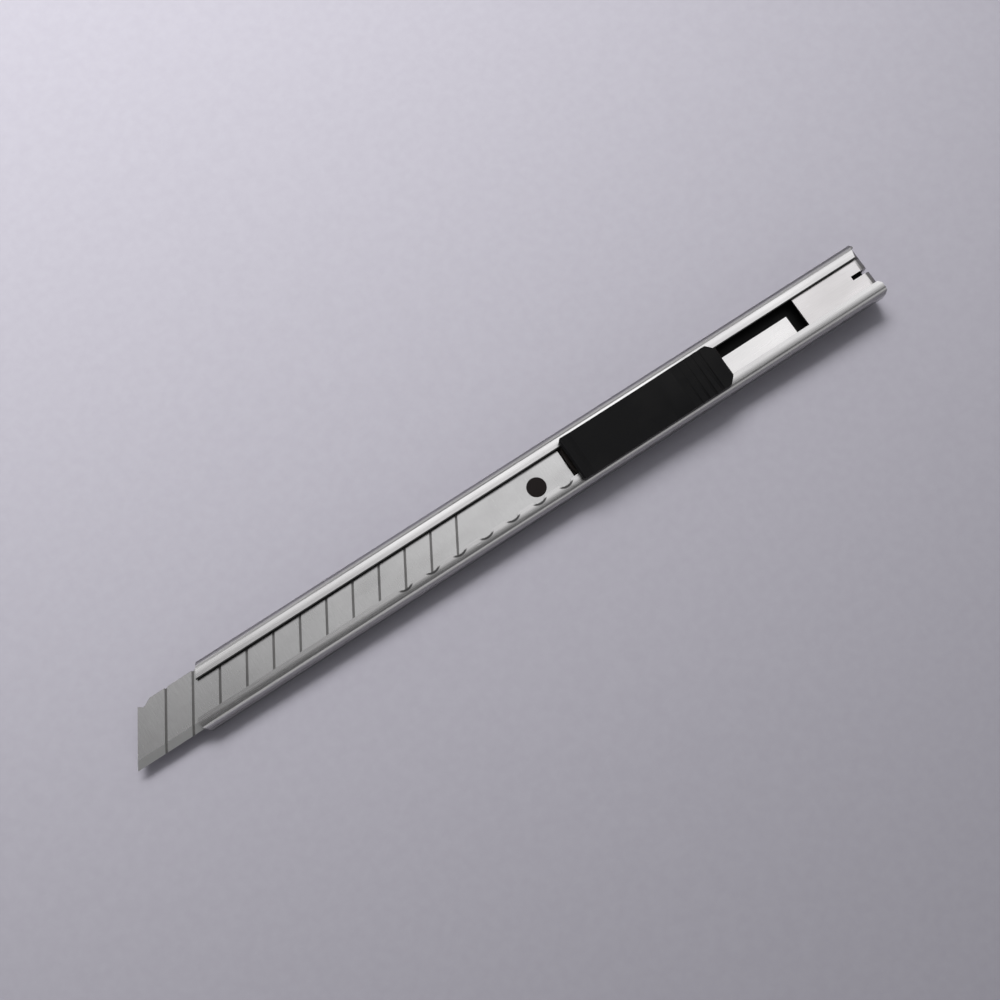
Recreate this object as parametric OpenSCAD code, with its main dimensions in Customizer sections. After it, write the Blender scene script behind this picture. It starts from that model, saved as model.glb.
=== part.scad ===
// Slim snap-off blade knife: folded steel holder, black slider with a notch lock,
// scored blade on a carriage, and an end clip that also snaps worn segments off.
// Millimetres. +X points to the rear end, +Y to the blade's spine, +Z out of the slotted front.
// Origin: middle of the overall length and of the width, on the plane of the clip's outer face.

/* [Body] */
// Length of the folded holder
body_len = 134.5; // [120:0.5:150]
// Outside width of the holder
body_w = 10.6; // [10.4:0.1:12]
// Outside height of the holder, without the slider
body_h = 3.8; // [3.4:0.1:5]
// Thickness of the holder's sheet
sheet = 0.7; // [0.5:0.1:0.9]
// Width of the slot between the two lips
slot_w = 5.4; // [4.6:0.1:6]
// How far the front end leans back towards the spine side
front_lean = 4.5; // [0:0.5:6]

/* [Blade] */
// Width of the blade
blade_w = 9; // [9:0.1:9]
// Thickness of the blade
blade_t = 0.38; // [0.3:0.01:0.45]
// Length of the blade along its cutting edge
blade_len = 84.2; // [80:0.1:86]
// Length of one snap-off segment
pitch = 5; // [5:0.1:6]
// Distance between two lock notches in the lip
notch_pitch = 5.2; // [5:0.1:6]
// How far the tip stands out of the holder
blade_out = 12; // [2:5:57]
// Width of the ground edge
bevel_w = 1.4; // [0.8:0.1:2]

/* [Slider] */
// Length of the thumb piece
cap_len = 30.7; // [24:0.1:36]
// Width of the thumb piece
cap_w = 8.0; // [6.5:0.1:9]
// Height of the thumb piece above the lips
cap_h = 1.9; // [1.2:0.1:3]
// Lengthways play of the thumb piece each way
cap_play = 0.6; // [0.4:0.1:0.8]

/* [End clip] */
// Length of the pocket arm
arm_len = 42; // [30:1:60]
// Width of the pocket arm
arm_w = 8.4; // [6:0.1:9]
// Clear gap between the arm and the holder's back
arm_gap = 1.2; // [0.8:0.1:2]
// Thickness of the clip's sheet
clip_t = 0.6; // [0.5:0.1:0.8]

/* [Hidden] */
$fn = 48;

// Lengthways stations
overall = body_len + blade_out;
tip_x = -overall / 2;
rear_x = overall / 2;
front_x = tip_x + blade_out;
hole_x = tip_x + 77.95;
blade_end_x = tip_x + blade_len;
ledge_x = blade_end_x + 0.15;
cap_x = ledge_x + 0.5;
cap_end_x = cap_x + cap_len;
block_end_x = cap_end_x + 0.5;
tail_end_x = rear_x - 16.75;
tongue_x = rear_x - 14.5;
tooth_x = tip_x + 97.75;

// Heights
back_z = clip_t + arm_gap;
floor_z = back_z + sheet;
lip_z = back_z + body_h;
under_lip_z = lip_z - sheet;
blade_top_z = under_lip_z - 0.45;
blade_z = blade_top_z - blade_t;
plate_z = floor_z + 0.08;
plate_t = 0.5;
block_z = plate_z + plate_t;
spring_z = back_z + 1.9;
spring_t = 0.4;
tongue_z = under_lip_z - 0.08 - clip_t;
cap_z = lip_z + 0.1;

// Widths
in_w = body_w - 2 * sheet;
run_w = in_w - 0.4;
cap_y = -0.45;
bend_out = 1.1;
bend_in = bend_out - sheet;
clip_bend = 1.5;
hole_y = -0.7;
hole_r = 1.7;
spring_y0 = -slot_w / 2 + 0.1;
spring_y1 = 0.55;
tail_y1 = 0.85;

// Notches of the lock, in the lip on the cutting-edge side
notch_r = 1.42;
notch_y = -slot_w / 2 + 0.72;
notches_ahead = 9;
notches_behind = 3;
blade_angle = 60;

// Quarter ring with its corner at the origin, filling the quadrant sx, sy
module corner_ring(r_out, r_in, sx, sy) {
    intersection() {
        difference() {
            circle(r = r_out);
            circle(r = r_in);
        }
        scale_to_quadrant(sx, sy) square(r_out + 1);
    }
}

module scale_to_quadrant(sx, sy) {
    mirror([sx < 0 ? 1 : 0, 0])
        mirror([0, sy < 0 ? 1 : 0])
            children();
}

// Puts a flat drawing (width, height) into the YZ plane and draws it along X
module along_x(x0, len) {
    translate([x0, 0, 0])
        rotate([90, 0, 90])
            linear_extrude(len) children();
}

// Puts a flat drawing (length, height) into the XZ plane and draws it across Y
module across_y(y0, w) {
    translate([0, y0 + w, 0])
        rotate([90, 0, 0])
            linear_extrude(w) children();
}

module block(x0, x1, y0, y1, z0, z1) {
    translate([x0, y0, z0]) cube([x1 - x0, y1 - y0, z1 - z0]);
}

// ---- Holder: one folded sheet with two inward lips ----
module holder_section() {
    y = body_w / 2 - bend_out;
    z0 = back_z + bend_out;
    z1 = lip_z - bend_out;
    translate([-y, back_z]) square([2 * y, sheet]);
    for (s = [-1, 1]) {
        translate([s * y, z0]) corner_ring(bend_out, bend_in, s, -1);
        translate([s * y, z1]) corner_ring(bend_out, bend_in, s, 1);
        translate([s > 0 ? body_w / 2 - sheet : -body_w / 2, z0]) square([sheet, z1 - z0]);
        translate([s > 0 ? slot_w / 2 : -y, under_lip_z]) square([y - slot_w / 2, sheet]);
    }
}

module slanted_front() {
    // parallel to the score lines, with the corner on the cutting-edge side taken off
    w = body_w / 2;
    y0 = -w + 2.1;
    lean = front_lean / (w - y0);
    translate([0, 0, back_z - 1])
        linear_extrude(body_h + 2)
            polygon([
                [front_x - 5, -w - 1],
                [front_x + 1.5, -w - 1],
                [front_x + 1.0, -w],
                [front_x + 0.25, -w + 0.8],
                [front_x, y0],
                [front_x + front_lean + lean, w + 1],
                [front_x - 5, w + 1]
            ]);
}

module rear_corners() {
    c = 0.5;
    for (s = [-1, 1])
        translate([rear_x, s * body_w / 2, back_z - 1])
            rotate([0, 0, 45])
                translate([-c * 0.7071, -c * 0.7071, 0])
                    cube([2 * c * 0.7071, 2 * c * 0.7071, body_h + 2]);
}

// Rear ends of the lips: cut back at an angle on the spine side, inner corner taken off on the other
module lip_ends() {
    translate([0, 0, lip_z - bend_out])
        linear_extrude(bend_out + 0.1)
            polygon([
                [rear_x - 1.3, slot_w / 2 - 0.1],
                [rear_x + 0.1, slot_w / 2 - 0.1],
                [rear_x + 0.1, body_w / 2 + 0.1],
                [rear_x - 0.6, body_w / 2 + 0.1]
            ]);
    translate([0, 0, under_lip_z - 0.1])
        linear_extrude(sheet + 0.2)
            polygon([
                [rear_x + 0.1, -slot_w / 2 + 0.1],
                [rear_x - 0.6, -slot_w / 2 + 0.1],
                [rear_x + 0.1, -slot_w / 2 - 0.8]
            ]);
}

module lock_notches() {
    for (k = [-notches_ahead : notches_behind])
        translate([tooth_x + k * notch_pitch, notch_y, under_lip_z - 0.1])
            cylinder(r = notch_r, h = sheet + 0.2);
}

module holder() {
    color("silver")
        difference() {
            along_x(front_x, body_len) holder_section();
            slanted_front();
            rear_corners();
            lip_ends();
            lock_notches();
            // recess for the end clip's wall, so that it sits flush with the rear end
            block(rear_x - clip_t - 0.1, rear_x + 1, -arm_w / 2 - 0.4, arm_w / 2 + 0.4,
                  back_z - 1, floor_z + 0.2);
        }
}

// ---- End clip: tongue, end wall and pocket arm folded from one strip ----
module clip_section() {
    r = clip_bend;
    ri = clip_bend - clip_t;
    top_z = tongue_z + clip_t;
    arm_x = rear_x - arm_len;
    translate([tongue_x, tongue_z]) square([rear_x - r - tongue_x, clip_t]);
    translate([rear_x - r, top_z - r]) corner_ring(r, ri, 1, 1);
    translate([rear_x - clip_t, r]) square([clip_t, top_z - 2 * r]);
    translate([rear_x - r, r]) corner_ring(r, ri, 1, -1);
    translate([arm_x + 9, 0]) square([rear_x - r - arm_x - 9, clip_t]);
    // the arm rises to the holder's back, touches it, and turns out again at the toe
    polygon([
        [arm_x + 9.5, 0],
        [arm_x + 9.5, clip_t],
        [arm_x + 8.6, clip_t],
        [arm_x + 3.6, back_z - 0.08],
        [arm_x + 2.4, back_z - 0.08],
        [arm_x, back_z - 0.7],
        [arm_x + 0.25, back_z - 1.2],
        [arm_x + 2.5, back_z - 0.68],
        [arm_x + 3.5, back_z - 0.68],
        [arm_x + 8.5, 0]
    ]);
}

module tongue_outline() {
    // wide under the lips, narrower where it bends down through the holder's end
    translate([tongue_x, -run_w / 2]) square([rear_x - 2.1 - tongue_x, run_w]);
    translate([tongue_x, -arm_w / 2]) square([rear_x - tongue_x, arm_w]);
}

module arm_outline() {
    difference() {
        translate([rear_x - arm_len, -arm_w / 2]) square([arm_len, arm_w]);
        translate([rear_x - arm_len, 0]) toe_corners();
    }
}

module toe_corners() {
    r = 2.5;
    for (s = [-1, 1])
        translate([0, s * arm_w / 2])
            difference() {
                translate([-1, s > 0 ? -r : -1]) square([r + 1, r + 1]);
                translate([r, -s * r]) circle(r = r);
            }
}

module end_clip() {
    color("gainsboro")
        difference() {
            intersection() {
                across_y(-run_w / 2, run_w) clip_section();
                union() {
                    translate([0, 0, -1]) linear_extrude(floor_z + 1) arm_outline();
                    translate([0, 0, floor_z - 0.1]) linear_extrude(body_h) tongue_outline();
                }
            }
            // slit that grips a worn segment
            block(rear_x - 3.6, rear_x + 1, -0.3, 0.5, -1, lip_z + 1);
        }
}

// ---- Blade ----
module blade_plan() {
    lean = blade_w / tan(blade_angle);
    w = blade_w / 2;
    // small notch left in the spine where the last segment broke off
    polygon([
        [tip_x, -w],
        [tip_x + lean * (1 - 0.25 / blade_w), w - 0.25],
        [tip_x + lean + 0.55, w - 0.75],
        [tip_x + lean + 0.95, w - 0.7],
        [tip_x + lean + 2.2, w],
        [blade_end_x, w],
        [blade_end_x, -w]
    ]);
}

module blade_section() {
    w = blade_w / 2;
    polygon([
        [-w, blade_z + blade_t / 2],
        [-w + bevel_w, blade_z],
        [w, blade_z],
        [w, blade_top_z],
        [-w + bevel_w, blade_top_z]
    ]);
}

module score_lines() {
    for (k = [1 : 12])
        translate([tip_x + 0.2 + k * pitch, -blade_w / 2, blade_top_z - 0.13])
            rotate([0, 0, blade_angle])
                translate([-1, -0.2, 0]) cube([blade_w / sin(blade_angle) + 2, 0.4, 1]);
}

// Tiny nick in the spine where each score line ends
module spine_nicks() {
    lean = blade_w / tan(blade_angle);
    for (k = [1 : 12])
        translate([tip_x + 0.2 + k * pitch + lean, blade_w / 2 + 0.12, blade_z - 1])
            cylinder(r = 0.3, h = 3, $fn = 24);
}

module blade() {
    color("lightgray")
        difference() {
            intersection() {
                along_x(tip_x - 1, blade_len + 2) blade_section();
                translate([0, 0, blade_z - 1]) linear_extrude(3) blade_plan();
            }
            score_lines();
            spine_nicks();
            translate([hole_x, hole_y, blade_z - 1]) cylinder(r = hole_r, h = 3);
        }
}

// ---- Carriage: steel runner, plastic block, stud, lock spring and rivets ----
stud_r = hole_r - 0.06;
rivet_x = ledge_x + 4.2;
rivet_y = [-1.85, -0.2];
rivet_r = 0.5;
rivet_head_r = 0.7;
leg_x = [cap_x + 5.5, cap_x + 24.5];
leg_y0 = 1.2;
leg_y1 = 2.2;

module rivet_holes(r) {
    for (y = rivet_y)
        translate([rivet_x, y, back_z]) cylinder(r = r, h = body_h);
}

module runner_plate() {
    color("darkgray")
        difference() {
            block(hole_x - 5, block_end_x, -run_w / 2, run_w / 2, plate_z, block_z);
            translate([hole_x, hole_y, plate_z - 1]) cylinder(r = 1.0, h = 3);
            rivet_holes(rivet_r);
            // relief below the lock's tooth
            block(tooth_x - 4, tooth_x + 4, spring_y0 - 1.1, spring_y1, plate_z - 1, block_z + 1);
        }
}

module ledge_plan() {
    r = 8;
    w = slot_w / 2 - 0.1;
    intersection() {
        translate([ledge_x, -w]) square([3, 2 * w]);
        translate([ledge_x + r, 0]) circle(r = r);
    }
    translate([ledge_x + 2, -w]) square([block_end_x - ledge_x - 2, 2 * w]);
}

module slide_block() {
    spring_room = 0.1;
    color([0.07, 0.07, 0.075])
        difference() {
            union() {
                // bed under the blade
                block(hole_x - 5, ledge_x + 1, -run_w / 2, run_w / 2, block_z, blade_z - 0.02);
                // body of the block, below the lips
                block(ledge_x, block_end_x, -run_w / 2, run_w / 2, block_z, under_lip_z - 0.1);
                // part that fills the slot, rounded in front
                translate([0, 0, block_z]) linear_extrude(lip_z - 0.05 - block_z) ledge_plan();
            }
            // trough of the lock spring
            block(ledge_x + 2.6, block_end_x + 1, spring_y0 - spring_room, spring_y1 + spring_room,
                  spring_z, lip_z + 1);
            // room for the spring to bend down and for the tooth beside it
            block(ledge_x + 6.6, block_end_x + 1, spring_y0 - spring_room, spring_y1 + spring_room,
                  block_z - 1, lip_z + 1);
            block(tooth_x - 2.6, tooth_x + 2.6, spring_y0 - 1.2, spring_y1,
                  block_z - 1, lip_z + 1);
            // slots of the thumb piece's two legs, wider below for their hooks
            for (x = leg_x) {
                block(x - 1 - cap_play - 0.1, x + 1 + cap_play + 0.1, leg_y0 - 0.1, leg_y1 + 0.1,
                      block_z - 1, lip_z + 1);
                block(x - 1 - cap_play - 0.1, x + 1 + cap_play + 0.1, leg_y0 - 0.1, leg_y1 + 0.6,
                      block_z - 1, block_z + 0.65);
            }
            rivet_holes(rivet_r);
            translate([hole_x, hole_y, block_z - 1]) cylinder(r = stud_r, h = 5);
        }
}

module blade_stud() {
    color([0.1, 0.09, 0.09]) {
        translate([hole_x, hole_y, block_z]) cylinder(r = stud_r, h = blade_top_z + 0.05 - block_z);
        translate([hole_x, hole_y, plate_z + 0.05]) cylinder(r = 1.0, h = plate_t);
    }
}

// Trapezoid tooth that stands up into a notch; its plan follows the notch
module lock_tooth() {
    intersection() {
        translate([tooth_x, notch_y, spring_z]) cylinder(r = notch_r - 0.1, h = 5);
        across_y(-slot_w / 2 - 1, 1.8)
            polygon([
                [tooth_x - 1.6, spring_z],
                [tooth_x + 1.6, spring_z],
                [tooth_x + 1.1, lip_z - 0.05],
                [tooth_x - 1.1, lip_z - 0.05]
            ]);
    }
}

module lock_spring() {
    color("whitesmoke")
        difference() {
            union() {
                block(ledge_x + 2.8, tail_end_x, spring_y0, spring_y1, spring_z, spring_z + spring_t);
                block(block_end_x + 0.1, tail_end_x, spring_y0, tail_y1, spring_z, spring_z + spring_t);
                lock_tooth();
            }
            rivet_holes(rivet_r);
        }
}

module spring_rivets() {
    color("gray")
        for (y = rivet_y) {
            translate([rivet_x, y, plate_z + 0.02]) cylinder(r = rivet_r, h = spring_z + spring_t - plate_z);
            translate([rivet_x, y, spring_z + spring_t]) cylinder(r = rivet_head_r, h = 0.4);
        }
}

// ---- Thumb slider ----
module cap_side() {
    top_z = cap_z + cap_h - 0.1;
    polygon([
        [cap_x, cap_z],
        [cap_x, top_z - 0.5],
        [cap_x + 0.3, top_z - 0.1],
        [cap_x + 1.3, top_z - 0.1],
        [cap_x + 2.2, top_z - 0.35],
        [cap_x + 15, top_z - 0.45],
        [cap_end_x - 12, top_z - 0.3],
        [cap_end_x - 2, top_z],
        [cap_end_x - 0.3, top_z - 0.2],
        [cap_end_x, top_z - 0.6],
        [cap_end_x, cap_z]
    ]);
}

module cap_plan() {
    w = cap_w / 2;
    c = 1.4;
    translate([0, cap_y]) polygon([
        [cap_x, -w + 0.3],
        [cap_x + 0.3, -w],
        [cap_end_x - c, -w],
        [cap_end_x, -w + c],
        [cap_end_x, w - c],
        [cap_end_x - c, w],
        [cap_x + 0.3, w],
        [cap_x, w - 0.3]
    ]);
}

module grip_grooves() {
    for (k = [0 : 7])
        translate([cap_end_x - 3 - k * 1.4, -cap_w, cap_z + cap_h + 0.12])
            rotate([-90, 0, 0]) cylinder(r = 0.42, h = 2 * cap_w, $fn = 24);
}

// Ramps on both sides of the tooth: moving the thumb piece either way pushes the tooth down
module unlock_ramps() {
    for (s = [-1, 1])
        across_y(-slot_w / 2 + 0.3, 0.9)
            polygon([
                [tooth_x + s * 1.35, cap_z + 0.1],
                [tooth_x + s * 1.85, spring_z + spring_t + 0.25],
                [tooth_x + s * 3.2, spring_z + spring_t + 0.25],
                [tooth_x + s * 3.2, cap_z + 0.1]
            ]);
}

module thumb_slider() {
    color([0.06, 0.06, 0.065]) {
        difference() {
            intersection() {
                across_y(cap_y - cap_w / 2, cap_w) cap_side();
                translate([0, 0, cap_z - 1]) linear_extrude(cap_h + 3) cap_plan();
            }
            grip_grooves();
        }
        unlock_ramps();
        for (x = leg_x) {
            block(x - 1, x + 1, leg_y0, leg_y1, block_z + 0.1, cap_z + 0.1);
            block(x - 1, x + 1, leg_y0, leg_y1 + 0.4, block_z + 0.1, block_z + 0.55);
        }
    }
}

holder();
end_clip();
blade();
runner_plate();
slide_block();
blade_stud();
lock_spring();
spring_rivets();
thumb_slider();
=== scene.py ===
import math
import bpy
from mathutils import Euler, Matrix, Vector


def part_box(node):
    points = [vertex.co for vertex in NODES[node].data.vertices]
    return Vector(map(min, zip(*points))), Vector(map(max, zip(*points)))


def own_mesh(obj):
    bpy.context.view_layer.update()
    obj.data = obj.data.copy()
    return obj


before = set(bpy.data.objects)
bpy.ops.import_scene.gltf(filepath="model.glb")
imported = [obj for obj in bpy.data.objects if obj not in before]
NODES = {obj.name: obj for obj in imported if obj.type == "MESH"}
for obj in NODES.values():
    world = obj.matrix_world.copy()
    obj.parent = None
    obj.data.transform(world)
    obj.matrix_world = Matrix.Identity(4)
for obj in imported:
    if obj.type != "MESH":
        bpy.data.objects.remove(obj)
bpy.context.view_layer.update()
MM = 0.001

# the lock notches in the holder's lip, in millimetres
blade_low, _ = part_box("blade")
holder_low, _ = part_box("holder")
NOTCH_PITCH = 5.2
NOTCH_X = 1000 * blade_low[0] + 97.75
NOTCH_Y = -1.98
NOTCH_R = 1.42


# ---------------------------------------------------------------- node helpers
class Mat:
    """A procedural material with a Principled shader and a few short-hand nodes."""

    def __init__(self, name, **sockets):
        self.mat = bpy.data.materials.new(name)
        self.mat.use_nodes = True
        self.tree = self.mat.node_tree
        self.bsdf = self.tree.nodes["Principled BSDF"]
        for key, value in sockets.items():
            self.bsdf.inputs[key.replace("_", " ")].default_value = value

    def add(self, kind, **props):
        node = self.tree.nodes.new(kind)
        for key, value in props.items():
            setattr(node, key, value)
        return node

    def link(self, a, b):
        self.tree.links.new(a, b)

    def coords(self, scale=(1, 1, 1), rotation=(0, 0, 0)):
        """Object coordinates in millimetres, stretched by scale."""
        tex = self.add("ShaderNodeTexCoord")
        mapping = self.add("ShaderNodeMapping")
        mapping.inputs["Scale"].default_value = [1000 * s for s in scale]
        mapping.inputs["Rotation"].default_value = rotation
        self.link(tex.outputs["Object"], mapping.inputs["Vector"])
        return mapping.outputs["Vector"]

    def noise(self, vector, scale=1.0, detail=3.0, rough=0.5):
        node = self.add("ShaderNodeTexNoise")
        node.inputs["Scale"].default_value = scale
        node.inputs["Detail"].default_value = detail
        node.inputs["Roughness"].default_value = rough
        self.link(vector, node.inputs["Vector"])
        return node.outputs["Fac"]

    def ramp(self, fac, stops):
        node = self.add("ShaderNodeValToRGB")
        elements = node.color_ramp.elements
        while len(elements) < len(stops):
            elements.new(0.5)
        for element, (pos, colour) in zip(elements, stops):
            element.position = pos
            if not isinstance(colour, (tuple, list)):
                colour = (colour, colour, colour)
            element.color = (*colour[:3], 1)
        self.link(fac, node.inputs["Fac"])
        return node.outputs["Color"]

    def remap(self, value, lo, hi, from_lo=0.0, from_hi=1.0):
        node = self.add("ShaderNodeMapRange")
        node.inputs["From Min"].default_value = from_lo
        node.inputs["From Max"].default_value = from_hi
        node.inputs["To Min"].default_value = lo
        node.inputs["To Max"].default_value = hi
        self.link(value, node.inputs["Value"])
        return node.outputs["Result"]

    def math(self, op, a, b=None):
        node = self.add("ShaderNodeMath", operation=op)
        for i, v in enumerate((a, b)):
            if v is None:
                continue
            if isinstance(v, (int, float)):
                node.inputs[i].default_value = v
            else:
                self.link(v, node.inputs[i])
        return node.outputs[0]

    def mix(self, fac, a, b, blend="MIX"):
        node = self.add("ShaderNodeMix", data_type="RGBA", blend_type=blend)
        for socket, v in ((node.inputs[0], fac), (node.inputs[6], a), (node.inputs[7], b)):
            if isinstance(v, (int, float)):
                socket.default_value = v
            elif isinstance(v, tuple):
                socket.default_value = (*v, 1)
            else:
                self.link(v, socket)
        return node.outputs[2]

    def step(self, value, off, on):
        """0 at off, 1 at on, smooth between."""
        node = self.add("ShaderNodeMapRange", interpolation_type="SMOOTHSTEP")
        node.inputs["From Min"].default_value = min(off, on)
        node.inputs["From Max"].default_value = max(off, on)
        node.inputs["To Min"].default_value = 1.0 if on < off else 0.0
        node.inputs["To Max"].default_value = 0.0 if on < off else 1.0
        self.link(value, node.inputs["Value"])
        return node.outputs["Result"]

    def axes(self):
        """Object coordinates in millimetres as three values."""
        split = self.add("ShaderNodeSeparateXYZ")
        self.link(self.coords(), split.inputs["Vector"])
        return split.outputs["X"], split.outputs["Y"], split.outputs["Z"]

    def edge_wear(self, radius=0.0002):
        """1 along convex edges, 0 elsewhere, from the bevel node's normal."""
        bevel = self.add("ShaderNodeBevel", samples=6)
        bevel.inputs["Radius"].default_value = radius
        geo = self.add("ShaderNodeNewGeometry")
        dot = self.add("ShaderNodeVectorMath", operation="DOT_PRODUCT")
        self.link(bevel.outputs["Normal"], dot.inputs[0])
        self.link(geo.outputs["Normal"], dot.inputs[1])
        return self.remap(dot.outputs["Value"], 1.0, 0.0, 0.8, 0.995)

    def bump(self, height, distance, strength=1.0, normal=None):
        node = self.add("ShaderNodeBump")
        node.inputs["Distance"].default_value = distance
        node.inputs["Strength"].default_value = strength
        self.link(height, node.inputs["Height"])
        if normal is not None:
            self.link(normal, node.inputs["Normal"])
        return node.outputs["Normal"]

    def set(self, socket, value):
        self.link(value, self.bsdf.inputs[socket])

    def base(self, colour, rough):
        """Plain values of the shader, for viewers that can't follow the nodes."""
        self.bsdf.inputs["Base Color"].default_value = (*colour, 1)
        self.bsdf.inputs["Roughness"].default_value = rough


def steel(name, colour, rough=(0.17, 0.27), grain=(0.25, 9.0, 9.0), bump=0.0012, smudge=0.12,
          anisotropic=0.3, channel=False, bend_from=None):
    """Stainless sheet: fine grain lines along X, handling smudges and hairline scratches."""
    m = Mat(name, Metallic=1.0)
    m.base(colour, sum(rough) / 2)
    m.bsdf.inputs["Anisotropic"].default_value = anisotropic
    tangent = m.add("ShaderNodeTangent", direction_type="RADIAL", axis="Y")
    m.link(tangent.outputs["Tangent"], m.bsdf.inputs["Tangent"])
    fine = m.noise(m.coords(grain), 1.0, 5.0, 0.6)
    broad = m.noise(m.coords((0.05, 0.14, 0.14)), 1.0, 3.0, 0.55)
    scratch_a = m.noise(m.coords((0.35, 7.0, 7.0), rotation=(0, 0, 0.12)), 1.0, 1.0, 0.3)
    hair = m.ramp(scratch_a, [(0.0, 0.0), (0.70, 0.0), (0.745, 1.0), (0.79, 0.0)])
    tone = m.ramp(fine, [(0.25, [c * 0.90 for c in colour]), (0.5, colour),
                         (0.75, [min(1, c * 1.06) for c in colour])])
    dirty = m.ramp(broad, [(0.35, 0.0), (0.7, 1.0)])
    tone = m.mix(m.remap(dirty, 0.0, smudge), tone, tuple(c * 0.8 for c in colour))
    rough_out = m.math("ADD", m.remap(fine, rough[0], rough[1], 0.25, 0.75),
                       m.remap(dirty, 0.0, 0.08))
    rough_out = m.math("ADD", rough_out, m.remap(hair, 0.0, 0.10))
    height = m.math("SUBTRACT", fine, m.math("MULTIPLY", hair, 0.35))
    normal = m.bump(height, bump * MM, 0.5)
    if channel:
        # the lips are slightly crowned (bumped normals); the inside of the channel and a strip along
        # the spine-side lip's sheared edge are painted with shade, nearly black
        x, y, z = m.axes()
        side = m.math("ABSOLUTE", y)
        top = m.step(z, 4.5, 4.8)
        channel_shade = m.math("MULTIPLY", m.step(side, 4.66, 4.60), m.step(z, 2.36, 2.44))
        channel_shade = m.math("MULTIPLY", channel_shade, m.step(z, 5.50, 5.40))
        lip_edge_shade = m.math("MULTIPLY", m.step(y, 2.90, 2.82), m.step(y, 2.5, 2.6))
        lip_edge_shade = m.math("MULTIPLY", lip_edge_shade, top)
        channel_shade = m.math("MAXIMUM", channel_shade, m.math("MULTIPLY", lip_edge_shade, 0.9))
        crown = m.math("POWER", m.math("MAXIMUM", m.math("SUBTRACT", side, 3.3), 0.0), 2.0)
        lean = m.math("MULTIPLY", m.math("MINIMUM", m.math("ADD", y, 2.7), 0.0),
                      m.math("MULTIPLY", m.remap(x, 0.065, 0.0, -60.0, 5.0), top))
        normal = m.bump(m.math("ADD", m.math("MULTIPLY", crown, -0.09), lean), MM, 1.0, normal)
        # painted shade: a dark crescent just past the bottom of each punched notch
        phase = m.math("FRACT", m.math("ADD", m.math("DIVIDE", m.math("SUBTRACT", x, NOTCH_X),
                                                      NOTCH_PITCH), 0.5))
        across = m.math("MULTIPLY", m.math("SUBTRACT", phase, 0.5), NOTCH_PITCH)
        down = m.math("ABSOLUTE", m.math("SUBTRACT", y, NOTCH_Y))
        reach = m.math("SQRT", m.math("ADD", m.math("POWER", m.math("ABSOLUTE", across), 2.0),
                                      m.math("POWER", down, 2.0)))
        notch_shade = m.math("MULTIPLY", m.step(reach, NOTCH_R + 0.46, NOTCH_R + 0.24),
                     m.step(y, -3.0, -3.3))
        # the notches reach from 9 pitches ahead of the tooth to 3 behind it
        for off, on in ((-9.5, -9.4), (3.5, 3.4)):
            notch_shade = m.math("MULTIPLY", notch_shade, m.step(x, NOTCH_X + off * NOTCH_PITCH,
                                                 NOTCH_X + on * NOTCH_PITCH))
        notch_shade = m.math("MULTIPLY", notch_shade, top)
        channel_shade = m.math("MAXIMUM", channel_shade, m.math("MULTIPLY", notch_shade, 0.85))
        # painted shade: the channel, the lip's edge strip and the notch rims are made almost black
        tone = m.mix(channel_shade, tone, m.ramp(dirty, [(0.0, 0.035), (1.0, 0.02)]))
        rough_out = m.math("ADD", rough_out, m.math("MULTIPLY", channel_shade, 0.3))
        # painted reflection of shade: the outer flanks are darkened as if they mirrored the knife's
        # shadow on the table
        flank_shade = m.math("MULTIPLY", m.step(side, 4.50, 4.95), m.remap(fine, 0.62, 0.78, 0.3, 0.7))
        tone = m.mix(flank_shade, tone, tuple(c * 0.25 for c in colour))
    if bend_from is not None:
        # painted shade on the clip's folded rear end
        x, y, z = m.axes()
        fold_shade = m.math("MULTIPLY", m.step(x, bend_from, bend_from + 0.25),
                      m.remap(fine, 0.7, 0.9, 0.3, 0.7))
        fold_shade = m.math("MULTIPLY", fold_shade, m.step(z, 2.0, 3.6))
        tone = m.mix(fold_shade, tone, tuple(c * 0.16 for c in colour))
        # painted shadow of the spine-side lip's edge on the tongue, which also stands for oil there
        lip_shade_and_oil = m.math("MULTIPLY", m.step(y, 2.38, 2.6), m.step(y, 3.1, 2.8))
        lip_shade_and_oil = m.math("MULTIPLY", lip_shade_and_oil, m.math("MULTIPLY", m.step(z, 4.0, 4.6), 0.75))
        tone = m.mix(lip_shade_and_oil, tone, (0.05, 0.047, 0.045))
    m.set("Base Color", tone)
    m.set("Roughness", rough_out)
    m.set("Normal", normal)
    return m.mat


# score lines of the blade: 5 mm apart along the edge, 60 degrees to it
SCORE_PITCH = 5.0
SLANT = 1 / math.tan(math.radians(60))
FIRST_SCORE = 1000 * blade_low[0] + 0.2 + SCORE_PITCH - 1000 * blade_low[1] * SLANT


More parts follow.
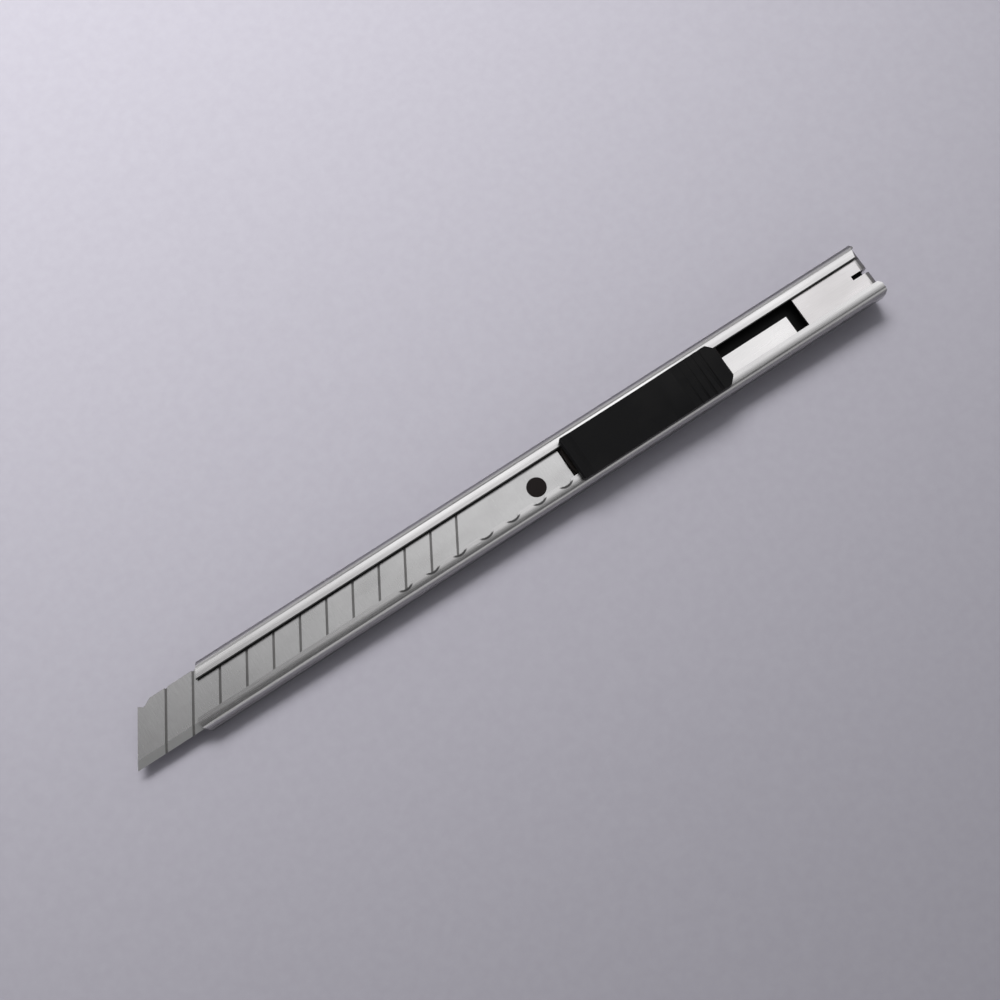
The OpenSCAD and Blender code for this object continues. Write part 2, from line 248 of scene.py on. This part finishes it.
def blade_steel():
    """Ground blade: faint cross-grain on the face, a bright ground edge and dark score lines."""
    m = Mat("blade_steel", Metallic=1.0)
    m.base((0.66, 0.655, 0.65), 0.22)
    m.bsdf.inputs["Anisotropic"].default_value = 0.3
    fine = m.noise(m.coords((7.0, 0.6, 1.0)), 1.0, 4.0, 0.6)
    broad = m.noise(m.coords((0.10, 0.22, 0.2)), 1.0, 3.0, 0.5)
    colour = (0.66, 0.655, 0.65)
    tone = m.ramp(fine, [(0.25, [c * 0.93 for c in colour]), (0.75, [c * 1.05 for c in colour])])
    stain = m.ramp(broad, [(0.42, 0.0), (0.72, 1.0)])
    tone = m.mix(m.remap(stain, 0.0, 0.22), tone, (0.45, 0.44, 0.43))
    # the ground edge is finely ground across; the score lines are drawn as dark lines
    x, y, z = m.axes()
    edge = m.step(y, -3.08, -3.12)
    tone = m.mix(m.math("MULTIPLY", edge, 0.8), tone, (0.80, 0.80, 0.79))
    along = m.math("SUBTRACT", m.math("SUBTRACT", x, FIRST_SCORE), m.math("MULTIPLY", y, SLANT))
    phase = m.math("FRACT", m.math("ADD", m.math("DIVIDE", along, SCORE_PITCH), 0.5))
    off = m.math("MULTIPLY", m.math("ABSOLUTE", m.math("SUBTRACT", phase, 0.5)),
                 SCORE_PITCH * math.sin(math.radians(60)))
    score = m.math("MULTIPLY", m.step(off, 0.26, 0.14),
                   m.math("MULTIPLY", m.step(along, -0.5, -0.4), m.step(along, 55.5, 55.4)))
    tone = m.mix(m.math("MULTIPLY", score, m.remap(fine, 0.70, 0.92)), tone, (0.17, 0.165, 0.16))
    # painted shadow of the spine-side lip on the blade, which also stands for oil where the lip rubs;
    # less towards the tip
    lip_shade_and_oil = m.math("MULTIPLY", m.step(y, 2.25, 2.6), m.step(y, 3.2, 2.8))
    lip_shade_and_oil = m.math("MULTIPLY", lip_shade_and_oil, m.math("MULTIPLY", m.remap(fine, 0.5, 1.0, 0.3, 0.7),
                                         m.step(x, 1000 * holder_low[0], 1000 * holder_low[0] + 16.0)))
    tone = m.mix(m.math("MULTIPLY", lip_shade_and_oil, 0.7), tone, (0.07, 0.067, 0.065))
    m.set("Base Color", tone)
    base = m.remap(fine, 0.16, 0.25, 0.25, 0.75)
    base = m.math("ADD", base, m.remap(stain, 0.0, 0.08))
    base = m.math("ADD", base, m.math("MULTIPLY", score, 0.2))
    m.set("Roughness", m.math("ADD", base, m.math("MULTIPLY", edge, 0.22)))
    grind = m.noise(m.coords((14.0, 1.2, 1.0)), 1.0, 2.0, 0.5)
    height = m.math("ADD", m.math("MULTIPLY", fine, 0.4),
                    m.math("MULTIPLY", m.math("MULTIPLY", grind, edge), 0.9))
    m.set("Normal", m.bump(height, 0.0012 * MM, 0.6))
    return m.mat


def plastic(name, colour, rough=(0.34, 0.5), grain=3.2, bump=0.012, worn=0.35):
    """Moulded black plastic: spark-eroded texture, paler along edges."""
    m = Mat(name)
    m.base(colour, sum(rough) / 2)
    m.bsdf.inputs["Specular IOR Level"].default_value = 0.12
    fine = m.noise(m.coords((grain, grain, grain)), 1.0, 3.0, 0.6)
    broad = m.noise(m.coords((0.12, 0.2, 0.2)), 1.0, 2.0, 0.5)
    tone = m.ramp(fine, [(0.3, [c * 0.75 for c in colour]), (0.7, [c * 1.3 for c in colour])])
    dust = m.ramp(broad, [(0.45, 0.0), (0.75, 1.0)])
    tone = m.mix(m.remap(dust, 0.0, 0.06), tone, (0.06, 0.058, 0.055))
    tone = m.mix(m.math("MULTIPLY", m.edge_wear(0.00018), worn), tone, (0.04, 0.04, 0.042))
    m.set("Base Color", tone)
    m.set("Roughness", m.math("ADD", m.remap(fine, rough[0], rough[1], 0.3, 0.7),
                              m.remap(dust, 0.0, 0.1)))
    m.set("Normal", m.bump(fine, bump * MM, 0.5))
    return m.mat


def put(node, material):
    obj = NODES[node]
    obj.data.materials.clear()
    obj.data.materials.append(material)


def soften(node, width, segments=2, angle=28):
    """Rounds a CAD node's sharp edges as the real part's are, without touching its mesh."""
    obj = NODES[node]
    weld = obj.modifiers.new("weld", "WELD")
    weld.merge_threshold = 0.0015 * MM
    bevel = obj.modifiers.new("edges", "BEVEL")
    bevel.width = width * MM
    bevel.segments = segments
    bevel.limit_method = "ANGLE"
    bevel.angle_limit = math.radians(angle)
    bevel.harden_normals = True
    bevel.use_clamp_overlap = True


# ---------------------------------------------------------------- materials on the CAD nodes
put("holder", steel("holder_steel", (0.74, 0.73, 0.725), channel=True))
clip_low, clip_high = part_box("end_clip")
put("end_clip", steel("clip_steel", (0.82, 0.795, 0.79), rough=(0.2, 0.32),
                      bend_from=1000 * clip_high[0] - 1.25))
put("runner_plate", steel("plate_steel", (0.62, 0.61, 0.6), rough=(0.3, 0.42)))
put("lock_spring", steel("spring_steel", (0.93, 0.915, 0.905), rough=(0.2, 0.32)))
put("spring_rivets", steel("rivet_steel", (0.66, 0.65, 0.64), grain=(4, 4, 4)))
put("blade", blade_steel())
put("slide_block", plastic("block_plastic", (0.010, 0.008, 0.007)))
put("blade_stud", plastic("stud_black", (0.008, 0.006, 0.006), rough=(0.3, 0.45), grain=6.0,
                          bump=0.006))
put("thumb_slider", plastic("cap_plastic", (0.0035, 0.0035, 0.0038)))

soften("holder", 0.10)
soften("end_clip", 0.08)
soften("runner_plate", 0.05)
soften("slide_block", 0.12)
soften("blade_stud", 0.12)
soften("lock_spring", 0.06)
soften("spring_rivets", 0.1)
soften("thumb_slider", 0.22, 3, 30)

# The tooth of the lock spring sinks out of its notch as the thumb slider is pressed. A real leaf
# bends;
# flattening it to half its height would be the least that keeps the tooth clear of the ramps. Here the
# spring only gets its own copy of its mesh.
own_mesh(NODES["lock_spring"])

# ---------------------------------------------------------------- table, light, camera
# The knife lies on its back: the holder's front edge and the clip's arm touch the table.
front_x, front_z = holder_low[0], holder_low[2]
heel_x = clip_low[0] + 9.25 * MM
slope = front_z / (heel_x - front_x)


def table_z(x):
    return (heel_x - x) * slope - 0.03 * MM


half = 0.9
verts = [(-half, -half, table_z(-half)), (half, -half, table_z(half)),
         (half, half, table_z(half)), (-half, half, table_z(-half))]
mesh = bpy.data.meshes.new("table_top")
mesh.from_pydata(verts, [], [(0, 1, 2, 3)])
table_top = bpy.data.objects.new("table_top", mesh)
bpy.context.collection.objects.link(table_top)
t = Mat("table_paint", Roughness=0.7)
t.bsdf.inputs["Specular IOR Level"].default_value = 0.1
speck = t.noise(t.coords((0.6, 0.6, 0.6)), 1.0, 3.0, 0.5)
t.set("Base Color", t.ramp(speck, [(0.3, (0.355, 0.345, 0.392)), (0.7, (0.370, 0.360, 0.408))]))
t.set("Normal", t.bump(speck, 0.01 * MM, 0.3))
mesh.materials.append(t.mat)


def softbox(name, location, target, size, power, colour=(1, 1, 1)):
    data = bpy.data.lights.new(name, "AREA")
    data.shape = "RECTANGLE"
    data.size, data.size_y = size
    data.energy = power
    data.color = colour
    obj = bpy.data.objects.new(name, data)
    bpy.context.collection.objects.link(obj)
    obj.location = location
    obj.rotation_euler = (Vector(target) - Vector(location)).to_track_quat("-Z", "Y").to_euler()
    return obj


# The key lights the table and the plastics from the spine's side, and its grid lets it fall off
# past the knife. The metal mirrors the room, which is dark at the horizon, paler overhead and
# palest towards the rear end.
key = softbox("key", (0.0, 0.37, 0.43), (-0.05, 0.18, 0.0), (0.50, 0.26), 1.03, (1.0, 0.99, 0.98))
key.data.spread = math.radians(60)
key.visible_glossy = False

world = bpy.data.worlds.new("studio")
bpy.context.scene.world = world
world.use_nodes = True
tree = world.node_tree
ground = tree.nodes["Background"]


def room(kind, **values):
    node = tree.nodes.new(kind)
    for name, value in values.items():
        node.inputs[name.replace("_", " ")].default_value = value
    return node


direction = room("ShaderNodeTexCoord")
axes = room("ShaderNodeSeparateXYZ")
tree.links.new(direction.outputs["Generated"], axes.inputs[0])


def band(axis, lo, hi, from_lo, from_hi):
    node = room("ShaderNodeMapRange", From_Min=from_lo, From_Max=from_hi, To_Min=lo, To_Max=hi)
    node.interpolation_type = "SMOOTHSTEP"
    tree.links.new(axes.outputs[axis], node.inputs["Value"])
    return node.outputs["Result"]


def slope_band(value, lo, hi, from_lo, from_hi):
    node = room("ShaderNodeMapRange", From_Min=from_lo, From_Max=from_hi, To_Min=lo, To_Max=hi)
    tree.links.new(value, node.inputs["Value"])
    return node.outputs["Result"]


def combine(op, a, b):
    node = tree.nodes.new("ShaderNodeMath")
    node.operation = op
    for i, v in enumerate((a, b)):
        if isinstance(v, (int, float)):
            node.inputs[i].default_value = v
        else:
            tree.links.new(v, node.inputs[i])
    return node.outputs[0]


skew = combine("ADD", axes.outputs["Y"], combine("MULTIPLY", axes.outputs["X"], 0.35))
overhead = combine("MULTIPLY", band("Z", 0.10, 1.0, 0.62, 0.90), band("X", 0.50, 1.24, -0.32, 0.24))
overhead = combine("MULTIPLY", overhead, slope_band(skew, 0.08, 1.25, -0.06, 0.46))
overhead = combine("MULTIPLY", overhead, band("Y", 1.0, 0.16, 0.46, 0.70))
strip = combine("MULTIPLY", band("Y", 0.0, 0.45, -0.62, -0.72), band("Y", 0.0, 1.0, -0.93, -0.84))
strip = combine("MULTIPLY", strip, band("X", 1.0, 0.12, 0.0, 0.20))
horizon = band("Z", 0.46, 0.0, 0.42, 0.72)
total = combine("ADD", combine("MAXIMUM", combine("ADD", overhead, strip), horizon), 0.05)
tree.links.new(total, ground.inputs["Strength"])
ground.inputs["Color"].default_value = (0.985, 0.985, 1.0, 1)

camera_data = bpy.data.cameras.new("camera")
camera_data.lens = 54.0
camera_data.sensor_width = 36.0
camera_data.clip_start = 0.01
camera_data.clip_end = 20.0
camera = bpy.data.objects.new("camera", camera_data)
camera.location = (-0.032806, -0.042271, 0.24479)
camera.rotation_euler = Euler([math.radians(a) for a in (12.479, -0.582, -33.383)], "XYZ")
bpy.context.collection.objects.link(camera)
bpy.context.scene.camera = camera
bpy.context.scene.view_settings.view_transform = "Standard"

bpy.context.view_layer.update()
